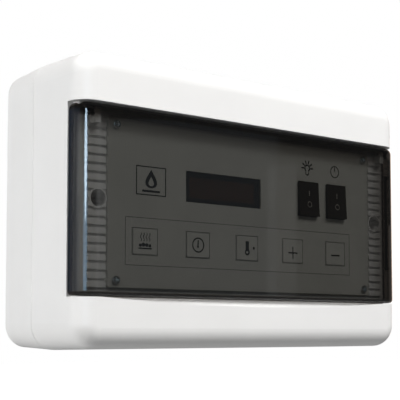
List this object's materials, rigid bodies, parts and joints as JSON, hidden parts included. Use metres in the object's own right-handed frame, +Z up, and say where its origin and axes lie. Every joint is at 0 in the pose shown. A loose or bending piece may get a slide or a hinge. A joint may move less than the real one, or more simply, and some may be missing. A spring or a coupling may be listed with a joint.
{
  "type": "heater control unit",
  "caption": "Wall-mounted control unit for an electric heater or kiln: white enclosure, smoked lift-up door, face plate with display, rocker switches and keys.",
  "frame": {"origin": "centre of the flat back face that rests on the wall", "axes": "+Y into the wall, +Z up, +X to the right as seen from the front; the front faces -Y"},
  "size_m": [0.3118, 0.1, 0.2028],
  "materials": {
    "white_abs": "gloss",
    "smoked_polycarbonate": "polished",
    "grey_painted_plate": "satin",
    "grey_film": "satin",
    "grey_key": "satin",
    "tinted_pane": "polished",
    "black_metal": "satin",
    "lcd_cell": "polished",
    "green_board": "satin",
    "nylon": "matte",
    "black_plastic": "satin",
    "black_gloss": "semi-gloss",
    "brass": "plain",
    "screw_steel": "zinc plated",
    "pin_steel": "ground",
    "zinc_steel": "galvanised",
    "transformer_iron": "varnished",
    "coil_wrap": "satin",
    "relay_blue": "satin",
    "capacitor_sleeve": "gloss",
    "fuse_glass": "polished",
    "terminal_green": "satin",
    "terminal_beige": "matte",
    "contactor_grey": "matte",
    "ribbon_grey": "satin"
  },
  "bodies": {
    "enclosure": {"back_box": "white_abs", "capacitors": "capacitor_sleeve", "contactor_base": "contactor_grey", "contactor_coil": "coil_wrap", "contactor_core": "transformer_iron", "contactor_housing": "contactor_grey", "contactor_screws": "screw_steel", "control_board": "green_board", "control_board_screws": "screw_steel", "cover_screws": "screw_steel", "din_rail": "zinc_steel", "din_rail_screws": "screw_steel", "display_window": "tinted_pane", "earth_bar": "brass", "earth_bar_screws": "screw_steel", "face_plate": "grey_painted_plate", "face_plate_screws": "screw_steel", "front_cover": "white_abs", "fuse_holder": "black_plastic", "fuse_link": "fuse_glass", "hinge_pins": "pin_steel", "key_board": "green_board", "key_board_screws": "screw_steel", "key_board_standoffs": "nylon", "key_switches": "black_plastic", "keypad_overlay": "grey_film", "lamp_switch_housing": "black_plastic", "lcd_bezel": "black_metal", "lcd_board": "green_board", "lcd_glass": "lcd_cell", "lcd_screws": "screw_steel", "lcd_standoffs": "nylon", "mains_terminal_block": "terminal_green", "mains_terminal_screws": "screw_steel", "microcontroller": "black_plastic", "power_switch_housing": "black_plastic", "rail_end_stops": "terminal_beige", "relays": "relay_blue", "ribbon_cable": "ribbon_grey", "ribbon_headers": "black_plastic", "sensor_terminal_block": "terminal_green", "sensor_terminal_screws": "screw_steel", "supply_terminal_screws": "screw_steel", "supply_terminals": "terminal_beige", "switch_terminals": "brass", "transformer": "transformer_iron"},
    "door_body": {"door": "smoked_polycarbonate", "door_buffer_strip": "black_plastic"},
    "lamp_rocker_body": {"lamp_rocker": "black_gloss"},
    "power_rocker_body": {"power_rocker": "black_gloss"},
    "contactor_slider_body": {"contactor_slider": "black_plastic"},
    "heater_key_body": {"heater_key": "grey_key"},
    "timer_key_body": {"timer_key": "grey_key"},
    "temperature_key_body": {"temperature_key": "grey_key"},
    "plus_key_body": {"plus_key": "grey_key"},
    "minus_key_body": {"minus_key": "grey_key"}
  },
  "joints": [
    {"name": "door_hinge", "type": "hinge", "parent": "enclosure", "child": "door_body", "pos_m": [0, -0.0945, 0.0585], "axis": [-1, 0, 0], "range_deg": [0, 90]},
    {"name": "lamp_rocker_tilt", "type": "hinge", "parent": "enclosure", "child": "lamp_rocker_body", "pos_m": [0.0585, -0.0898, 0.0147], "axis": [1, 0, 0], "range_deg": [0, 6]},
    {"name": "power_rocker_tilt", "type": "hinge", "parent": "enclosure", "child": "power_rocker_body", "pos_m": [0.089, -0.0898, 0.0147], "axis": [1, 0, 0], "range_deg": [0, 6]},
    {"name": "heater_key_press", "type": "slide", "parent": "enclosure", "child": "heater_key_body", "axis": [0, 1, 0], "range_m": [0, 0.0005], "stiffness_N_per_m": 400, "springref_m": -0.001},
    {"name": "timer_key_press", "type": "slide", "parent": "enclosure", "child": "timer_key_body", "axis": [0, 1, 0], "range_m": [0, 0.0005], "stiffness_N_per_m": 400, "springref_m": -0.001},
    {"name": "temperature_key_press", "type": "slide", "parent": "enclosure", "child": "temperature_key_body", "axis": [0, 1, 0], "range_m": [0, 0.0005], "stiffness_N_per_m": 400, "springref_m": -0.001},
    {"name": "plus_key_press", "type": "slide", "parent": "enclosure", "child": "plus_key_body", "axis": [0, 1, 0], "range_m": [0, 0.0005], "stiffness_N_per_m": 400, "springref_m": -0.001},
    {"name": "minus_key_press", "type": "slide", "parent": "enclosure", "child": "minus_key_body", "axis": [0, 1, 0], "range_m": [0, 0.0005], "stiffness_N_per_m": 400, "springref_m": -0.001},
    {"name": "contactor_pull", "type": "slide", "parent": "enclosure", "child": "contactor_slider_body", "axis": [0, 1, 0], "range_m": [0, 0.0035], "stiffness_N_per_m": 400, "springref_m": -0.003}
  ]
}
